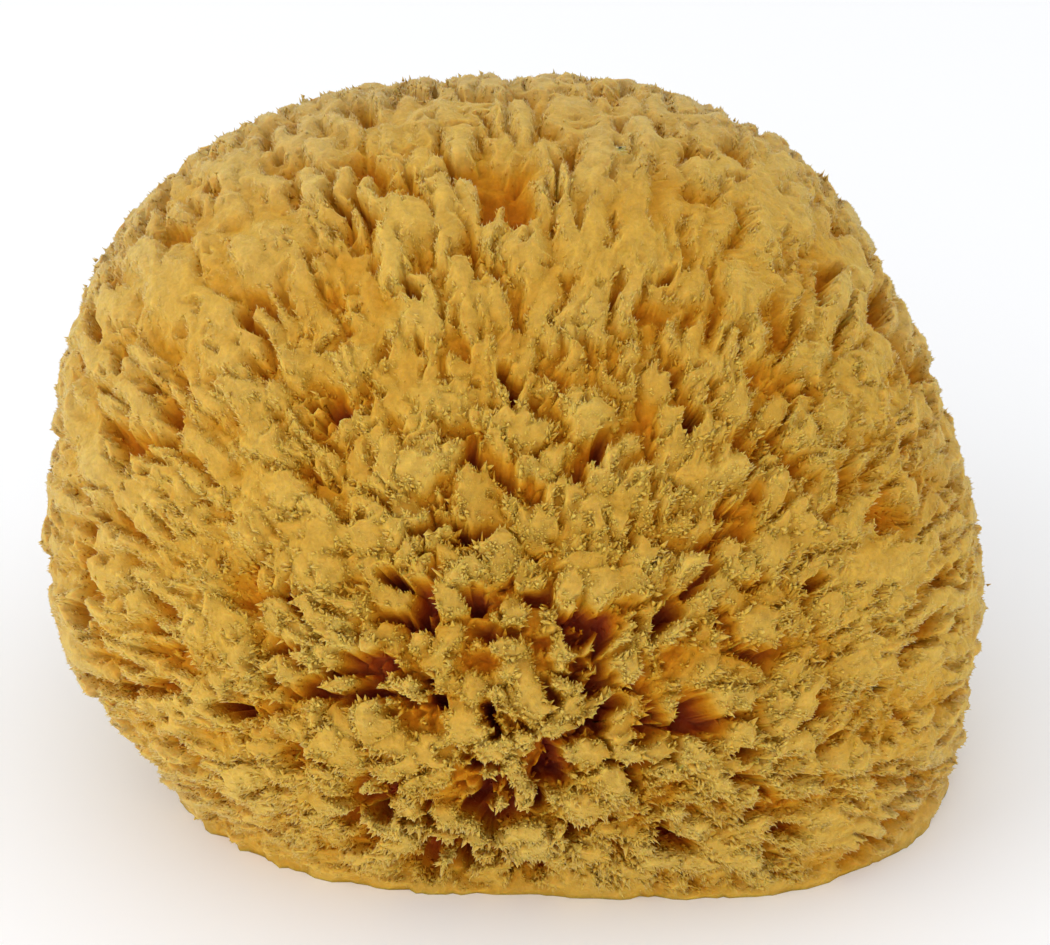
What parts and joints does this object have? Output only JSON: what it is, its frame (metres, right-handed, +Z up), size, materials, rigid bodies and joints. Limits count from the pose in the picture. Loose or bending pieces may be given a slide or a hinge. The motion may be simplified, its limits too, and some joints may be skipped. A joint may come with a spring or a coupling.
{
  "type": "sea sponge",
  "caption": "Natural wool sponge: a tufted dome of springy fibrous skeleton, riddled with canals and cut off flat at its base.",
  "frame": {"origin": "the growth centre in the cut face: the point on the surface it stands on that the tufts and canals run towards, under the dome's crown", "axes": "+X is the wide way across the sponge, +Y its depth with -Y the front, +Z up, away from the cut face"},
  "size_m": [0.1947, 0.166, 0.1383],
  "materials": {
    "sponge": "dry matte sponge fibre, ochre at the tips and brown in the canals"
  },
  "bodies": {
    "root": {"sponge": "sponge"}
  },
  "joints": []
}
